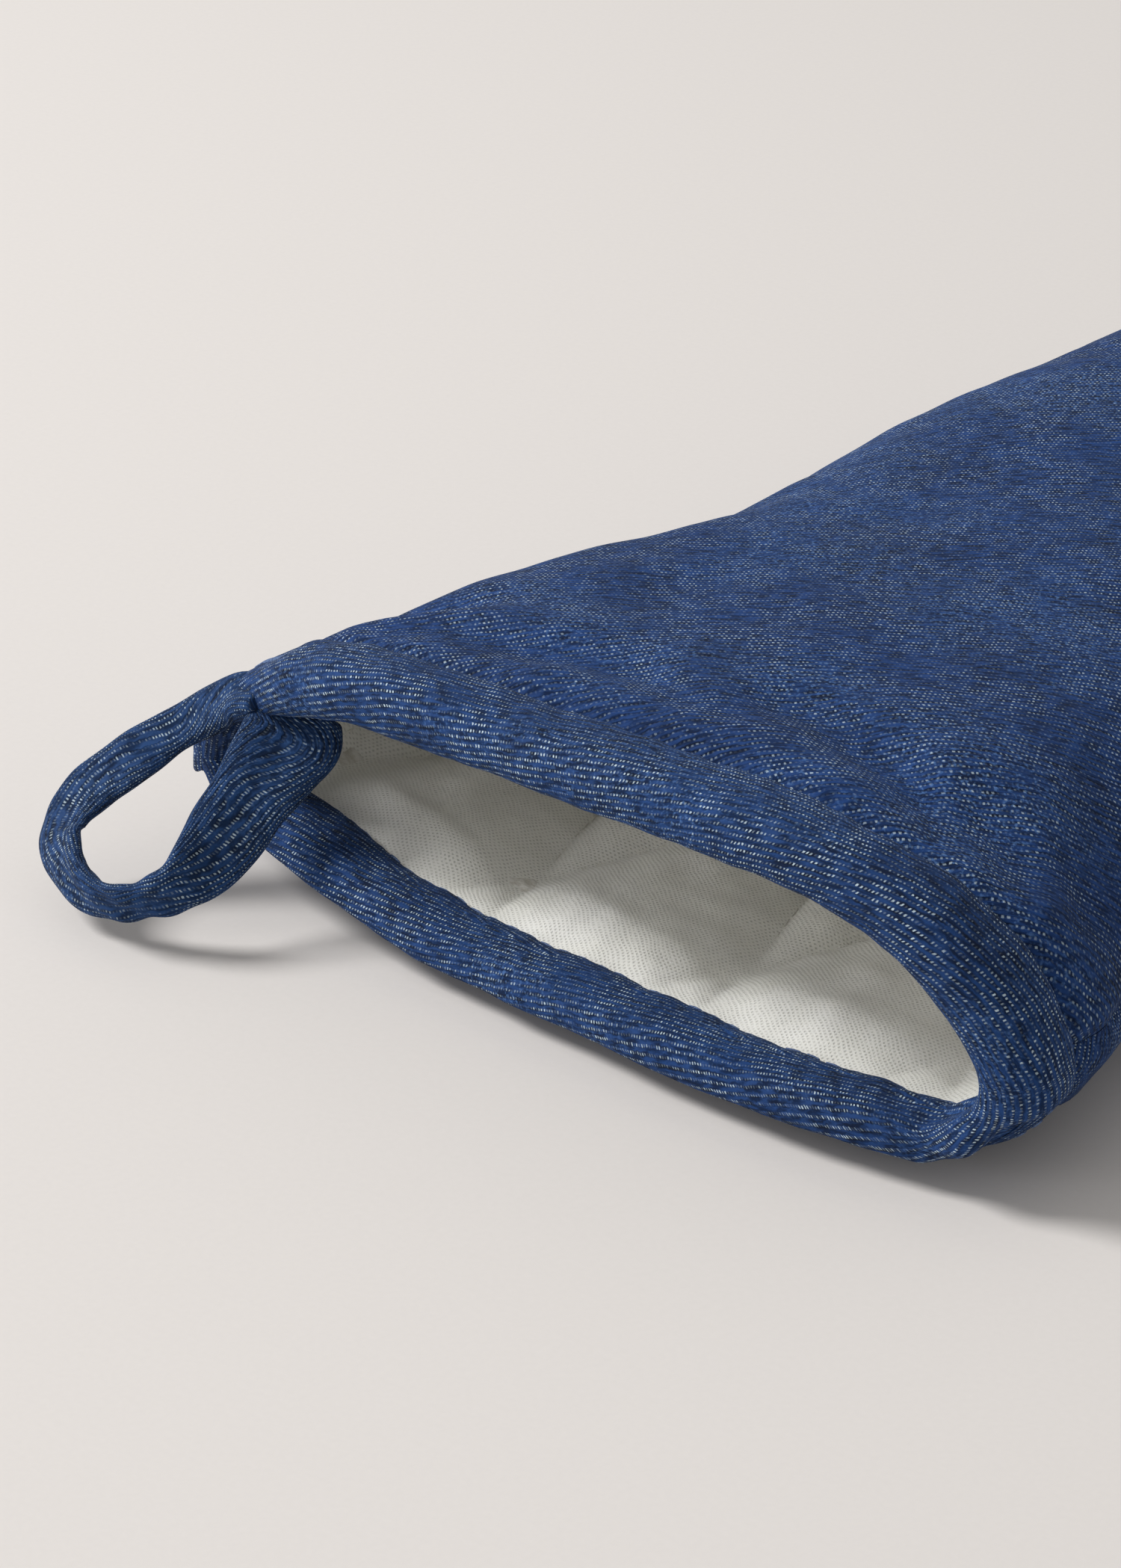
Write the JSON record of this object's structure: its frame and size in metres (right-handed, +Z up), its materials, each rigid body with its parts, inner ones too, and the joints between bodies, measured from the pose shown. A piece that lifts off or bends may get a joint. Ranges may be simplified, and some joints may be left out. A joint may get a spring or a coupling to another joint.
{
  "type": "oven mitt",
  "caption": "Quilted denim oven mitt lying palm down, with an open lined cuff, folded bias binding, a thumb and a hanging loop at the cuff corner.",
  "frame": {"origin": "middle of the bounding box, on the surface that the mitt lies on", "axes": "+X across the mitt from the loop's side to the thumb's side, +Y from the cuff to the fingertips, +Z up out of the back of the hand"},
  "size_m": [0.1894, 0.3495, 0.0492],
  "materials": {
    "denim_back": "indigo cotton denim, right-hand twill with white weft showing, matt with lint",
    "denim_palm": "the same indigo denim, palm panel",
    "denim_binding": "the same denim cut on the bias and folded as tape",
    "denim_loop": "the same denim folded to a narrow strip",
    "batting": "bonded cotton and polyester wadding, unbleached",
    "lining": "open plain-weave cotton, off-white, quilted",
    "blue_thread": "spun polyester sewing thread, light denim blue",
    "pale_thread": "spun polyester sewing thread, off-white"
  },
  "bodies": {
    "mitt": {"back_shell": "denim_back", "palm_shell": "denim_palm", "back_batting": "batting", "palm_batting": "batting", "back_lining": "lining", "palm_lining": "lining", "cuff_binding": "denim_binding", "binding_thread": "blue_thread", "side_seam_thread": "blue_thread", "lining_seam_thread": "pale_thread", "back_quilting_thread": "pale_thread", "palm_quilting_thread": "pale_thread", "loop_tack_thread": "blue_thread"},
    "loop": {"hanging_loop": "denim_loop", "loop_edge_thread": "blue_thread"}
  },
  "joints": [
    {"name": "loop_swing", "type": "hinge", "parent": "mitt", "child": "loop", "pos_m": [-0.07708, -0.13945, 0.02699], "axis": [-0.9293, 0.2132, -0.3015], "range_deg": [-4, 80], "stiffness_Nm_per_rad": 0.01}
  ]
}
